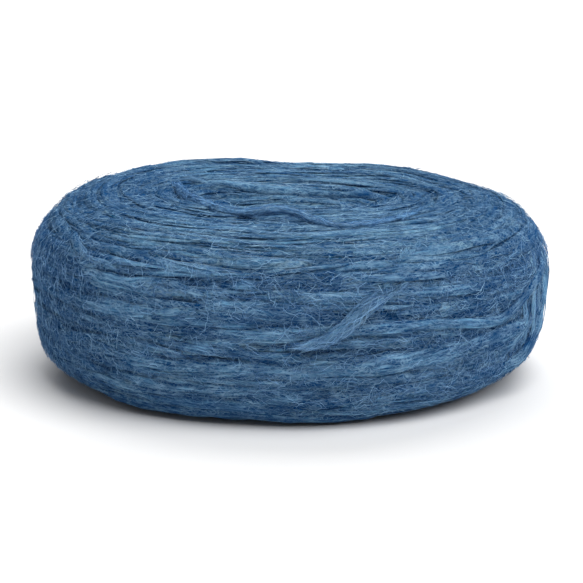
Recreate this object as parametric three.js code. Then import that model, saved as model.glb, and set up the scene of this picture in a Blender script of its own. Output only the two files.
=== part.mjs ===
// A plate of unspun wool roving: one soft strand wound into a thick disc with round shoulders,
// lying flat. The winding starts in a shallow eye on top, spirals out over the rim and ends under
// the foot. The inner end of the strand lies loose over the front lip of the eye, and the outer end
// slants down the front. Millimetres, +Z up, the front towards -Y. The origin is in the middle of
// the flat foot, on the surface that the plate lies on.
import * as THREE from "three";

// Driving dimensions
const PLATE_DIAMETER = 190;
const PLATE_HEIGHT = 65;
const ROVING_WIDTH = 3.5;

// The winding, worked out from the strand: it lies in pairs, so a raised turn is two strands wide.
const TURN_PITCH = 2 * ROVING_WIDTH;
const GROOVE_DEPTH = 0.3 * ROVING_WIDTH;
const TURN_WANDER = 0.2 * ROVING_WIDTH;
const STEPS_PER_TURN = 64;

// The section of one raised turn: shares of the pitch across it and of the groove's depth into it.
const TURN_SECTION = [
  { place: "inner crest", across: 0.1, sunk: 0.1 },
  { place: "outer crest", across: 0.5, sunk: 0.0 },
  { place: "groove", across: 0.82, sunk: 1.0 },
];

// Half of the plate's section, from the middle of the top over the rim to the foot:
// out is a share of the radius, up a share of the height, and groove a share of the groove's depth.
const PLATE_SECTION = [
  { place: "middle of the eye", out: 0.0, up: 0.893, groove: 0.8 },
  { place: "floor of the eye", out: 0.17, up: 0.9, groove: 1.0 },
  { place: "wall of the eye", out: 0.31, up: 0.935, groove: 1.2 },
  { place: "lip of the eye", out: 0.43, up: 0.983, groove: 1.2 },
  { place: "crown", out: 0.6, up: 1.0, groove: 0.9 },
  { place: "shoulder", out: 0.78, up: 0.985, groove: 0.9 },
  { place: "upper rim", out: 0.915, up: 0.895, groove: 1.0 },
  { place: "over the belly", out: 0.985, up: 0.745, groove: 1.1 },
  { place: "belly", out: 1.0, up: 0.58, groove: 1.0 },
  { place: "under the belly", out: 0.985, up: 0.34, groove: 1.1 },
  { place: "lower rim", out: 0.965, up: 0.16, groove: 1.0 },
  { place: "heel", out: 0.9, up: 0.045, groove: 0.7 },
  { place: "edge of the foot", out: 0.79, up: 0.0, groove: 0.0 },
  { place: "foot", out: 0.58, up: 0.0, groove: 0.0 },
];
const FOOT_ROW = PLATE_SECTION.findIndex((row) => row.place === "edge of the foot");

// The eye is squeezed from front to back by this share, less and less from its lip to the shoulder.
const EYE_SQUEEZE = 0.38;
const SQUEEZED_TO = 0.43;
const ROUND_FROM = 0.85;

// The top leans: the plate is thicker on one side.
const TOP_LEAN = 1.5;
const LEAN_TOWARDS = THREE.MathUtils.degToRad(160);

// Slow swellings: how many go round the plate, how far each stands out, and where the first one is.
const SWELLINGS = [
  { lobes: 2, outward: 0.5, upward: 0.4, first: 120 },
  { lobes: 3, outward: 0.6, upward: 0.5, first: 20 },
  { lobes: 5, outward: 0.3, upward: 0.4, first: 75 },
  { lobes: 9, outward: 0.2, upward: 0.2, first: 10 },
];

// The loose ends as they lie: a point in the middle of the strand at each bend.
const LOOSE_END_SIDES = 8;
const INNER_END_WIDTH = 4.0;
const INNER_END_STEPS = 30;
const INNER_END = [
  [-41.5, 11, 67.9],
  [-38.5, 1, 66.4],
  [-35, -9, 66.2],
  [-30.5, -20, 67.1],
  [-25.5, -30, 67.5],
  [-20, -38, 67.7],
  [-14.5, -43, 67.8],
  [-9, -45.5, 68.3],
  [-3, -47, 69.2],
  [3.5, -49.5, 68.9],
  [8.5, -54, 67.9],
  [12.5, -58, 67.6],
  [16.5, -61, 67.5],
  [21, -61.5, 67.4],
  [26.5, -59, 67.4],
  [32.5, -53, 67.2],
  [40, -42, 66.8],
  [48, -28, 66.4],
];
const OUTER_END_WIDTH = 4.5;
const OUTER_END_STEPS = 20;
const OUTER_END = [
  [70.5, -50, 60.2],
  [65, -58, 59.8],
  [59.5, -65.2, 59.2],
  [53.5, -72.2, 58.2],
  [48, -78.3, 56.7],
  [44, -83, 54.4],
  [40, -87.2, 51.2],
  [36, -90.2, 48.5],
  [32, -92.4, 46.9],
  [27.5, -94.2, 45],
  [23, -95.6, 41.2],
  [18.8, -96.6, 37.3],
  [14, -97.2, 34.2],
  [7.2, -97.7, 32],
  [2, -97.9, 31.3],
];

const wool = (name, color) =>
  new THREE.MeshStandardMaterial({ name, color, roughness: 0.95, metalness: 0 });

const radius = PLATE_DIAMETER / 2;
const section = new THREE.CatmullRomCurve3(
  PLATE_SECTION.map((row) => new THREE.Vector3(row.out * radius, 0, row.up * PLATE_HEIGHT)),
  false,
  "centripetal",
);
const sectionLength = section.getLength();

// A point of the winding: its distance along the section from the middle of the top, its angle round
// the plate, and how far it is sunk between two turns.
function woundPoint(distance, angle, sunk) {
  const wander = TURN_WANDER * Math.sin(2 * angle + distance / TURN_PITCH);
  const t = section.getUtoTmapping(THREE.MathUtils.clamp((distance + wander) / sectionLength, 0, 1));
  const middle = section.getPoint(t);
  const along = section.getTangent(t);
  const place = t * (PLATE_SECTION.length - 1);
  const row = Math.min(Math.floor(place), PLATE_SECTION.length - 2);
  const [from, to] = PLATE_SECTION.slice(row, row + 2);
  const sink = sunk * GROOVE_DEPTH * THREE.MathUtils.lerp(from.groove, to.groove, place - row);
  const outShare = middle.x / radius;
  const upShare = middle.z / PLATE_HEIGHT;
  let out = middle.x + along.z * sink;
  let up = middle.z - along.x * sink;
  for (const { lobes, outward, upward, first } of SWELLINGS) {
    const swell = Math.cos(lobes * (angle - THREE.MathUtils.degToRad(first)));
    out += outward * swell * outShare * upShare;
    up += upward * swell * outShare * upShare ** 2;
  }
  up += TOP_LEAN * Math.cos(angle - LEAN_TOWARDS) * outShare * upShare;
  const onTop = upShare > PLATE_SECTION[0].up / 2;
  const squeeze = onTop ? 1 - THREE.MathUtils.smoothstep(outShare, SQUEEZED_TO, ROUND_FROM) : 0;
  return new THREE.Vector3(
    out * Math.cos(angle),
    out * Math.sin(angle) * (1 - EYE_SQUEEZE * squeeze),
    place < FOOT_ROW ? Math.max(up, 0) : 0,
  );
}

// The winding as spirals that run side by side, one for each row of a turn's section. Strips of faces
// join each spiral to the next, and the last spiral to the first one of the next turn out.
function woundPlate() {
  const rows = TURN_SECTION.length;
  const turns = Math.floor(sectionLength / TURN_PITCH) - 2;
  const last = turns * STEPS_PER_TURN;
  const at = (row, step) => rows * step + row;
  const points = [];
  const faces = [];
  for (let step = 0; step <= last; step++) {
    const angle = (2 * Math.PI * step) / STEPS_PER_TURN;
    const turn = 1 + step / STEPS_PER_TURN;
    for (const { across, sunk } of TURN_SECTION) {
      points.push(woundPoint(TURN_PITCH * (turn + across), angle, sunk));
    }
  }
  for (let step = 0; step < last; step++) {
    for (let row = 0; row < rows; row++) {
      const nextTurn = row === rows - 1;
      const outer = nextTurn ? at(0, step + STEPS_PER_TURN) : at(row + 1, step);
      if (nextTurn && step + STEPS_PER_TURN >= last) continue;
      const inner = at(row, step);
      faces.push(inner, outer, outer + rows, inner, outer + rows, inner + rows);
    }
  }
  // The eye closes on its middle, and the foot closes flat on the middle of the underside.
  const turnOf = (row, from) => Array.from({ length: STEPS_PER_TURN + 1 }, (_, i) => at(row, from + i));
  const eyeEdge = turnOf(0, 0);
  const footEdge = turnOf(rows - 1, last - STEPS_PER_TURN);
  for (let row = rows - 1; row > 0; row--) {
    eyeEdge.push(at(row, 0));
    footEdge.push(at(row - 1, last));
  }
  const eye = points.push(woundPoint(0, 0, 0)) - 1;
  const foot = points.push(new THREE.Vector3()) - 1;
  eyeEdge.forEach((p, i) => faces.push(eye, p, eyeEdge[(i + 1) % eyeEdge.length]));
  footEdge.forEach((p, i) => faces.push(foot, footEdge[(i + 1) % footEdge.length], p));
  const geometry = new THREE.BufferGeometry().setFromPoints(points);
  geometry.setIndex(faces);
  geometry.computeVertexNormals();
  return geometry;
}

// A loose end: a round strand drawn along its points.
function looseEnd(points, width, steps) {
  const route = points.map((point) => new THREE.Vector3(...point));
  const round = Array.from({ length: LOOSE_END_SIDES }, (_, i) => {
    const angle = (2 * Math.PI * i) / LOOSE_END_SIDES;
    return new THREE.Vector2(Math.cos(angle), Math.sin(angle)).multiplyScalar(width / 2);
  });
  const extrudePath = new THREE.CatmullRomCurve3(route, false, "centripetal");
  return new THREE.ExtrudeGeometry(new THREE.Shape(round), { steps, bevelEnabled: false, extrudePath });
}

const pieces = {
  wound_plate: new THREE.Mesh(woundPlate(), wool("wound_wool", 0x446485)),
  inner_end: new THREE.Mesh(
    looseEnd(INNER_END, INNER_END_WIDTH, INNER_END_STEPS),
    wool("inner_end_wool", 0x4a709c),
  ),
  outer_end: new THREE.Mesh(
    looseEnd(OUTER_END, OUTER_END_WIDTH, OUTER_END_STEPS),
    wool("outer_end_wool", 0x486c94),
  ),
};
const plate = new THREE.Group();
for (const [name, mesh] of Object.entries(pieces)) {
  mesh.name = name;
  plate.add(mesh);
}

export default plate;
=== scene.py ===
"""A plate of unspun blue wool: one soft strand wound flat, its inner end loose over the eye on top
and its outer end slanting down the front. Tables are in millimetres and meshes in metres, with +Z up
and the front towards -Y."""
import math

import bpy
import numpy as np
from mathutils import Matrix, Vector


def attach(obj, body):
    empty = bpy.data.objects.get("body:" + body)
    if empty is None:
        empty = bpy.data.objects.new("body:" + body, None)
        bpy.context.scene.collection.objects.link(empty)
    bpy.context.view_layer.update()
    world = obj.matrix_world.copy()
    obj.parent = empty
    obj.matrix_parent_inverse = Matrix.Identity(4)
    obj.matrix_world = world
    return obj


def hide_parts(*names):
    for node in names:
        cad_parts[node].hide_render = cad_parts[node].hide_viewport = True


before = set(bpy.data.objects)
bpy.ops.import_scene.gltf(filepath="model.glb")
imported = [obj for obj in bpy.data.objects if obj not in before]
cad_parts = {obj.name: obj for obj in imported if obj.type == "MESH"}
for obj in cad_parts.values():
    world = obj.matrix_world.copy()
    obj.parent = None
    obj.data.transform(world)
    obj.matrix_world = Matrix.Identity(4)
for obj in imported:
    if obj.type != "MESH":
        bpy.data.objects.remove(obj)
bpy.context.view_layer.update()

MM = 0.001
FULL_TURN = 2 * math.pi
PLATE_RADIUS = 95.0
PLATE_HEIGHT = 65.0
STRAND_WIDTH = 6.2
STRAND_PITCH = 4.7
STRAND_FLATNESS = 0.55

# Half of the plate's section, from the middle of the top to the middle of the underside:
# the place, its share of the radius and its share of the height.
SECTION = [
    ("middle of the eye", 0.0, 0.893),
    ("floor of the eye", 0.17, 0.9),
    ("wall of the eye", 0.31, 0.935),
    ("lip of the eye", 0.43, 0.983),
    ("crown", 0.6, 1.0),
    ("shoulder", 0.78, 0.985),
    ("upper rim", 0.915, 0.895),
    ("over the belly", 0.985, 0.745),
    ("belly", 1.0, 0.58),
    ("under the belly", 0.985, 0.34),
    ("lower rim", 0.965, 0.16),
    ("heel", 0.9, 0.045),
    ("edge of the foot", 0.79, 0.0),
    ("foot", 0.58, 0.0),
    ("under the plate", 0.3, 0.0),
    ("middle of the underside", 0.0, 0.0),
]
EYE_SQUEEZE = 0.38
SQUEEZED_TO = 0.43
ROUND_FROM = 0.85
TOP_LEAN = 1.5
LEAN_TOWARDS = math.radians(160)

# Slow swellings: how many go round the plate, how far each stands out and up, and where the first one is.
SWELLINGS = [
    (2, 0.5, 0.4, 120),
    (3, 0.6, 0.5, 20),
    (5, 0.3, 0.4, 75),
    (9, 0.2, 0.2, 10),
]

# Distances along the section, from the middle of the top: where the level top ends, where the shoulder has
# turned to the side, and where the underside begins.
LEVEL_TOP = 70
SHOULDER = 80
UNDERSIDE = 168

# Stretches of the section: the distances where each one begins, is full, begins to fade and ends.
TOP_RIDGES = (8, 26, 66, 86)
BACK_EDGE = (50, 66, 84, 98)
BANDED_SIDE = (62, 80, 138, 152)
HEEL = (126, 148, 166, 182)

# Rises of the back edge and tucks of the heel: the angle in degrees, how far and how wide, in radians.
BACK_EDGE_RISES = [(112, 0.9, 0.28), (48, 1.0, 0.35), (84, -1.2, 0.25)]
HEEL_TUCKS = [(-124, 3.2, 0.35), (-95, 0.9, 0.35)]

# The loose ends as they lie: a point in the middle of the strand at each bend, in metres.
INNER_END_WIDTH = 0.004
INNER_END = [
    (-0.0415, 0.011, 0.0679),
    (-0.0385, 0.001, 0.0664),
    (-0.035, -0.009, 0.0662),
    (-0.0305, -0.02, 0.0671),
    (-0.0255, -0.03, 0.0675),
    (-0.02, -0.038, 0.0677),
    (-0.0145, -0.043, 0.0678),
    (-0.009, -0.0455, 0.0683),
    (-0.003, -0.047, 0.0692),
    (0.0035, -0.0495, 0.0689),
    (0.0085, -0.054, 0.0679),
    (0.0125, -0.058, 0.0676),
    (0.0165, -0.061, 0.0675),
    (0.021, -0.0615, 0.0674),
    (0.0265, -0.059, 0.0674),
    (0.0325, -0.053, 0.0672),
    (0.04, -0.042, 0.0668),
    (0.048, -0.028, 0.0664),
]
OUTER_END_WIDTH = 0.0045
OUTER_END = [
    (0.0705, -0.05, 0.0602),
    (0.065, -0.058, 0.0598),
    (0.0595, -0.0652, 0.0592),
    (0.0535, -0.0722, 0.0582),
    (0.048, -0.0783, 0.0567),
    (0.044, -0.083, 0.0544),
    (0.04, -0.0872, 0.0512),
    (0.036, -0.0902, 0.0485),
    (0.032, -0.0924, 0.0469),
    (0.0275, -0.0942, 0.045),
    (0.023, -0.0956, 0.0412),
    (0.0188, -0.0966, 0.0373),
    (0.014, -0.0972, 0.0342),
    (0.0072, -0.0977, 0.032),
    (0.002, -0.0979, 0.0313),
]

# Shares of each end's length, with its girth and shade there and how far it has sunk into the turns.
INNER_END_SHAPE = [
    (0, 0.5, 0.85, 1.3), (0.07, 0.85, 0.95, 1.4), (0.15, 0.8, 1, 1.2), (0.22, 0.75, 1, 1.8),
    (0.3, 0.72, 1, 2.0), (0.37, 0.7, 1, 1.8), (0.42, 0.68, 1, 1.0), (0.46, 0.66, 1, 0.4),
    (0.51, 0.64, 1, 0.6), (0.56, 0.58, 0.95, 1.4), (0.62, 0.5, 0.85, 1.7), (0.8, 0.42, 0.75, 1.8),
    (1, 0.35, 0.6, 2.0),
]
OUTER_END_SHAPE = [
    (0, 0.28, 0.85, 2.8), (0.1, 0.28, 0.85, 2.8), (0.5, 0.28, 0.9, 2.8), (0.6, 0.28, 0.95, 2.8),
    (0.64, 0.5, 1.0, 1.8), (0.675, 1.0, 1.15, 0.5), (0.7, 1.15, 1.2, 0.3), (0.76, 1.1, 1.2, 0.3),
    (0.86, 0.9, 1.25, 0.4), (0.94, 0.65, 1.25, 0.6), (1, 0.4, 1.2, 1.0),
]

# Folds that show on the front: how far each one stands out (a crest) or dips (a valley), and its route, by
# the angle in degrees and the distance along the section. The laps over them also get painted shade in
# the valleys and painted light on the crests.
FOLDS = [
    ("valley on the shoulder", -0.6,
     [(-112, 81), (-101, 83), (-94, 86), (-86, 87.5), (-76, 87.5), (-68, 88), (-58, 86)]),
    ("valley on the left", -1.2,
     [(-142, 94), (-120, 91), (-107, 91.5), (-96, 93), (-85, 95.5), (-74, 97)]),
    ("crest on the left", 0.7,
     [(-145, 98), (-128, 95), (-118, 94), (-106, 95), (-95, 99), (-90, 100.5), (-76, 102), (-66, 102.5)]),
    ("second valley on the left", -1.2,
     [(-144, 100), (-131, 98.5), (-119, 97), (-108, 97), (-100, 97.5)]),
    ("valley in the middle", -1.0,
     [(-99, 96.5), (-94, 97.5), (-86, 98), (-78, 99.5)]),
    ("second crest on the left", 0.6,
     [(-143, 103), (-124, 100.5), (-116, 101.5), (-109, 102), (-100, 100)]),
    ("third valley on the left", -1.1,
     [(-119, 105.5), (-109, 104.5), (-104, 103), (-94, 101)]),
    ("third crest on the left", 0.5,
     [(-124, 110), (-109, 106), (-100, 103.5), (-90, 101.5)]),
    ("valley over the bright lap", -1.4,
     [(-128, 115.5), (-118, 114.5), (-107, 113.5), (-98, 111.5), (-91, 110), (-84, 109.5), (-73, 109.5),
      (-62, 110), (-49, 112.5), (-41, 113.5), (-31, 114)]),
    ("valley below the outer end", -1.3,
     [(-92, 120.5), (-80, 120), (-76, 120.5), (-62, 123), (-54, 124)]),
    ("low valley on the left", -0.9,
     [(-148, 133), (-140, 131.5), (-124, 127), (-108, 124), (-98, 123.5)]),
    ("low crest on the left", 0.5,
     [(-128, 137), (-122, 135.5), (-112, 132.5), (-95, 131.5), (-86, 131)]),
    ("lowest valley on the left", -1.0,
     [(-127, 138.5), (-119, 137.5), (-110, 138.5), (-100, 138)]),
    ("crest that rises to the bright lap", 0.9,
     [(-128, 127), (-116, 123.5), (-109, 121), (-100, 117), (-92, 114.5), (-84, 113.5), (-74, 113)]),
    ("crest below the outer end", 0.2,
     [(-92, 123.5), (-86, 123.5), (-76, 125), (-60, 128), (-48, 129)]),
    ("valley below the bright lap", -0.9,
     [(-60, 119.5), (-56, 120), (-48, 121), (-38, 122), (-30, 121.5)]),
    ("valley beside the flap", -0.9,
     [(-60, 107), (-57, 106.5), (-51, 105.5), (-46, 104.5), (-41, 103.5), (-32, 102)]),
    ("second valley beside the flap", -1.0,
     [(-54, 110.5), (-46, 109.5), (-40, 108.5), (-34, 107.5), (-26, 106)]),
    # Also a painted shadow that the inner end casts on the top in front of it.
    ("valley before the inner end", -0.8,
     [(-130, 56), (-125, 57.5), (-117, 60), (-110, 61.5), (-105, 60.5), (-99, 58.5), (-93, 57.5), (-87, 60.5),
      (-82, 65)]),
]

# Laps that cross the others and show: how far they stand out, their girth, their tint (0 blue to 1 grey) and
# their shade, and the route, by the angle in degrees and the distance along the section.
CROSSING_LAPS = [
    ("bright lap on the right", 0.5, 3.4, 0.1, 1.2,
     [(-82, 113), (-70, 113.2), (-58, 113.5), (-48, 115.5), (-38, 117), (-33, 115), (-28, 111), (-20, 106),
      (-10, 102)]),
    ("upright lap on the right", 0.5, 5.4, 0.6, 1.8,
     [(-6, 98), (-8, 105), (-11, 113), (-14, 120), (-17, 128), (-24, 134), (-36, 138)]),
    ("inner upright lap", 0.0, 4.2, 0.6, 1.7,
     [(-18, 97), (-22, 104), (-23, 111), (-24, 119), (-29, 127), (-39, 132)]),
    ("low lap on the left", -0.5, 4.2, 0.2, 1.1,
     [(-158, 122), (-150, 127), (-144, 131), (-138, 134), (-131, 136), (-122, 137), (-110, 138)]),
    ("lap at the back of the eye", -0.2, 4.0, 0.2, 1.1,
     [(144, 58), (138, 50), (133, 46), (127, 42), (117, 39), (106, 36.5), (94, 35), (76, 34.5), (58, 34.5),
      (40, 35), (24, 36), (8, 39)]),
    ("raised turn on the back edge", -0.6, 5.0, 0.4, 1.0,
     [(150, 79), (138, 76), (124, 74), (110, 72), (100, 72), (92, 73)]),
    ("knot on the left", 0.6, 3.2, -0.3, 1.3,
     [(-152, 89), (-148, 91), (-145, 93), (-141, 95)]),
]
CROSSING_LIFT = 0.45
CROSSING_EXTRA_GIRTH = 0.6

# Wisps that lie over the turns: how far they stand out, their girth and their shade, and the route, by the
# angle in degrees and the distance along the section.
WISPS = [
    # Over the upper part of the outer end.
    (1.0, 3.6, 0.95, [(-56, 84), (-38, 85), (-20, 86)]),
    (1.2, 3.2, 1.0, [(-64, 86), (-44, 87.5), (-24, 89)]),
    (1.0, 3.8, 0.95, [(-67, 89), (-49, 88), (-31, 87)]),
    (1.2, 3.2, 1.0, [(-73, 90), (-54, 91), (-35, 92)]),
    (1.0, 3.6, 1.0, [(-76, 94), (-59, 93.5), (-42, 93)]),
    (1.1, 3.2, 0.95, [(-81, 96), (-63, 96.5), (-45, 97)]),
    # The band in which the outer end frays out.
    (0.3, 4.2, 1.15, [(-40, 69), (-46, 73), (-53, 79), (-60, 87), (-66, 94.5), (-71, 100.5), (-75, 106)]),
    (0.2, 3.4, 1.1, [(-44, 76), (-51, 80), (-58, 87), (-63, 93), (-68, 98.5), (-72, 103)]),
    (0.2, 3.4, 1.15, [(-50, 74), (-57, 81), (-63, 88.5), (-69, 96), (-73, 101.5)]),
    # Over a gap at the right, darker, as painted shade in the gap.
    (-0.1, 4.6, 0.7, [(-35, 104.5), (-24, 104.5), (-13, 104.5)]),
    # The upright flap at the right, painted lighter, partly against the painted shade of the right end.
    (0.9, 4.6, 1.7, [(-30, 103), (-28, 114), (-25, 125), (-27, 138)]),
    (1.2, 4.6, 1.9, [(-26, 101), (-23, 113), (-20, 124), (-22, 137)]),
    (1.0, 4.8, 1.8, [(-22, 99), (-18, 111), (-16, 123), (-18, 136)]),
    (1.2, 4.8, 1.7, [(-18, 99), (-14, 111), (-12, 122), (-14, 136)]),
    (0.9, 4.8, 1.9, [(-14, 98), (-10, 110), (-8, 121), (-10, 135)]),
]

# Single fibres that stand off the front, by their angle in degrees, distance along the section and height.
STRAY_FIBRES = [
    [(-89.5, 111, 0.6), (-89, 108, 0.9), (-88, 106.5, 1.2), (-86, 107, 1.4), (-84.5, 109, 1.3),
     (-83.8, 111, 1.1), (-85, 112.3, 0.9), (-86, 111, 0.6)],
    [(-72, 117, 0.6), (-70, 116.5, 0.9), (-68, 117, 1.2), (-66, 119.5, 1.3), (-64, 121, 1.1),
     (-62.8, 120, 0.9), (-64, 118, 0.6)],
    [(-88.5, 140, 0.6), (-86, 138, 1.0), (-84, 138.3, 1.2), (-83, 140, 1.0), (-84.2, 142, 0.6)],
    [(-110, 113, 0.6), (-109, 114.5, 1.0), (-107.5, 114, 1.1), (-106, 112, 0.6)],
]
STRAY_GIRTH = 0.13
STRAY_STAND = 0.9

# How laps lie: the distance between their points, how deep and over what run their ends dive, and the
# least gap to the floor.
LAP_STEP = 2.5
END_DIVE = 2.2
DIVE_RUN = 14
FLOOR_GAP = 0.9
LONGEST_LAP = 260
WINDING_MARGIN = 3.0
VEIL_COUNT = 1550
VEILED = (12, 162)
UPPER_VEILS_FROM = 56

# Fibres per square metre on the turns, on the veils and curled over the form, by the part of the plate.
TURN_FIBRES = {"top": 8000.0, "front": 22000.0, "back": 22000.0}
VEIL_FIBRES = {"top": 9000.0, "front": 48000.0, "back": 48000.0}
CURLED_FIBRES = {"top": 70000.0, "front": 185000.0, "back": 115000.0}
LAID = dict(shortest=0.004, longest=0.010, spread=0.6, rise=0.0010, curl=0.0045, curl_scale=400.0, joints=6,
            shade_low=0.45, shade_high=1.4)
CURLED = dict(shortest=0.003, longest=0.009, spread=1.5, rise=0.0008, curl=0.0045, curl_scale=450.0, joints=6,
              shade_low=0.45, shade_high=1.3)

# Where the curled fibres are thicker: the middle of the place, its width and by how much. They are where the
# outer end comes loose, in a tangle on the front and beside the eye.
MATTED_PLACES = [((44, -72, 59), 14, 2.0), ((8, -95, 40), 9, 3.0), ((-52, -14, 65), 20, 1.2)]

# How far a face must look up to be on the top, and at least to be on the side.
TOP_LOOKS_UP = 0.6
SIDE_LOOKS_UP = -0.75


# Form of the winding

def smooth_line(points, per_span):
    """A smooth curve through points (centripetal Catmull-Rom), with per_span steps in each span."""
    points = np.asarray(points, float)
    ends = np.vstack([2 * points[0] - points[1], points, 2 * points[-1] - points[-2]])
    t = np.linspace(0, 1, per_span, endpoint=False)[:, None]
    line = []
    for i in range(len(points) - 1):
        a, b, c, d = ends[i:i + 4]
        ab, bc, cd = (max(np.linalg.norm(q - p), 1e-9) ** 0.5 for p, q in ((a, b), (b, c), (c, d)))
        leave = ((b - a) / ab - (c - a) / (ab + bc) + (c - b) / bc) * bc
        arrive = ((c - b) / bc - (d - b) / (bc + cd) + (d - c) / cd) * bc
        line.append(b + leave * t + (3 * (c - b) - 2 * leave - arrive) * t ** 2
                    + (2 * (b - c) + leave + arrive) * t ** 3)
    return np.vstack(line + [points[-1:]])


def distances_along(line):
    return np.r_[0, np.cumsum(np.linalg.norm(np.diff(line, axis=0), axis=1))]


SECTION_LINE = smooth_line([(out * PLATE_RADIUS, up * PLATE_HEIGHT) for _, out, up in SECTION], 60)
SECTION_DISTANCE = distances_along(SECTION_LINE)
SECTION_END = SECTION_DISTANCE[-1]
FOLD_LINES = [(smooth_line(route, 6).T, height) for _, height, route in FOLDS]


def smoothstep(low, high, value):
    share = np.clip((value - low) / (high - low), 0, 1)
    return share * share * (3 - 2 * share)


def stretch(value, begins, full, fades, ends):
    """1 within a stretch, and 0 before it begins and after it ends."""
    return smoothstep(begins, full, value) * (1 - smoothstep(fades, ends, value))


def near(value, middle, width):
    return np.exp(-((value - middle) / width) ** 2)


def rises(angle, places, base=0):
    """What each of the places adds to a base height at each angle."""
    return sum((height * near(angle, math.radians(at), width) for at, height, width in places), base)


def how_far_out(distance):
    return np.interp(distance, SECTION_DISTANCE, SECTION_LINE[:, 0])


def form_point(distance, angle):
    """Points of the form: the distance along the section from the middle of the top, and the angle."""
    middle_out = how_far_out(distance)
    middle_up = np.interp(distance, SECTION_DISTANCE, SECTION_LINE[:, 1])
    out_share = middle_out / PLATE_RADIUS
    up_share = middle_up / PLATE_HEIGHT
    out = middle_out.copy()
    up = middle_up.copy()
    for lobes, outward, upward, first in SWELLINGS:
        swell = np.cos(lobes * (angle - math.radians(first)))
        out += outward * swell * out_share * up_share
        up += upward * swell * out_share * up_share ** 2
    up += TOP_LEAN * np.cos(angle - LEAN_TOWARDS) * out_share * up_share
    on_top = up_share > SECTION[0][2] / 2
    squeeze = 1 - EYE_SQUEEZE * on_top * (1 - smoothstep(SQUEEZED_TO, ROUND_FROM, out_share))
    return np.stack([out * np.cos(angle), squeeze * out * np.sin(angle), np.maximum(up, 0)], -1)


def unit(vectors):
    return vectors / np.maximum(np.linalg.norm(vectors, axis=-1, keepdims=True), 1e-9)


def form_frame(distance, angle):
    """Points of the form, which way is out of it there, and which way the winding runs there."""
    step_down = 0.2
    step_round = 0.004
    distance = np.clip(distance, 1.0, SECTION_END - 1.0)
    points = form_point(distance, angle)
    down = form_point(distance + step_down, angle) - form_point(distance - step_down, angle)
    lie = form_point(distance, angle + step_round) - form_point(distance, angle - step_round)
    return points, unit(np.cross(down, lie)), unit(lie)


def front_folds(distance, angle):
    """How far the folds of the front stand out or dip at each place. Those on the top are broader."""
    degrees = np.degrees(np.mod(angle + math.pi, FULL_TURN) - math.pi)
    width = 1.5 + 2.5 * (1 - smoothstep(LEVEL_TOP, SHOULDER, distance))
    height = np.zeros_like(distance)
    for (at, line), most in FOLD_LINES:
        share = (degrees - at[0]) / (at[-1] - at[0])
        ends = stretch(share, 0, 0.12, 0.88, 1)
        height += most * ends * near(distance, np.interp(degrees, at, line), width)
    return height


def bands(distance, angle):
    """Soft bands round the side where turns lie together, from -1 in a valley to 1 on a crest."""
    pitch = 7.0
    drift = 3.5 * np.sin(angle + 0.4) + 1.8 * np.sin(3 * angle + 1.2) + 0.9 * np.sin(7 * angle + 2)
    strength = (0.65 + 0.35 * np.sin(4 * angle + distance / 9)) * (0.7 + 0.3 * np.sin(angle))
    return stretch(distance, *BANDED_SIDE) * strength * np.sin(FULL_TURN * (distance + drift) / pitch)


def relief(distance, angle):
    """How far the turns stand off the plain form: ridges on the top, bands and folds on the side, a raised
    back edge, a slimmer waist, a tucked heel and a hollow in the eye."""
    ridge_pitch = 11.5
    fine_pitch = 7.3
    fold_pitch = 17
    x, y, _ = np.moveaxis(form_point(distance, angle), -1, 0)
    on_top = stretch(distance, *TOP_RIDGES)
    ridge_drift = 1.4 * np.sin(2 * angle + 0.6)
    ridges = (0.45 * np.sin(FULL_TURN * distance / ridge_pitch + ridge_drift + 0.8 * np.sin(5 * angle))
              + 0.25 * np.sin(FULL_TURN * distance / fine_pitch + 2 * np.cos(3 * angle) + 1))
    folds = 0.4 * np.sin(FULL_TURN * distance / fold_pitch + 1.7 * np.sin(2 * angle + 2) + np.sin(3 * angle))
    raised = stretch(distance, *BACK_EDGE) * rises(angle, BACK_EDGE_RISES)
    waist = 1.3 * near(distance, 119, 8) * np.cos(angle) ** 2
    tuck = rises(angle, HEEL_TUCKS, (2.8 + 0.5 * np.cos(angle)) * np.cos(angle) ** 2)
    hollow = near(x, -20, 15) * near(y, 12, 6) * (distance < 60)
    return (on_top * ridges + (1 - on_top) * (distance < 150) * folds + 0.8 * bands(distance, angle)
            + front_folds(distance, angle) + raised - waist - tuck * stretch(distance, *HEEL) - 2.2 * hollow)


def turned_surface(distance, angle):
    """The surface that the turns make: the form and its relief, with out and the winding's way."""
    points, out, lie = form_frame(distance, angle)
    return points + out * relief(distance, angle)[:, None], out, lie


# Turns of the strand

class Lap:
    """A stretch of the strand as it lies: its middle line, which way is out, its girth and its dye."""

    def __init__(self, points, out, girth, tint, shade):
        self.points = points
        self.out = out
        self.girth = np.broadcast_to(girth, len(points))
        self.tint = np.broadcast_to(tint, len(points))
        self.shade = np.broadcast_to(shade, len(points))

    def thinned(self, from_end):
        """The lap thinned out at its ends, by each point's share of the length from the nearer end."""
        self.girth = self.girth * (0.12 + 0.88 * smoothstep(0, 0.35, from_end))
        return self


def ripple(chance, run, shortest, longest):
    """Slow waves along a run, of a random length and with a random start."""
    return np.sin(run / chance.uniform(shortest, longest) + chance.uniform(0, 6.3))


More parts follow.
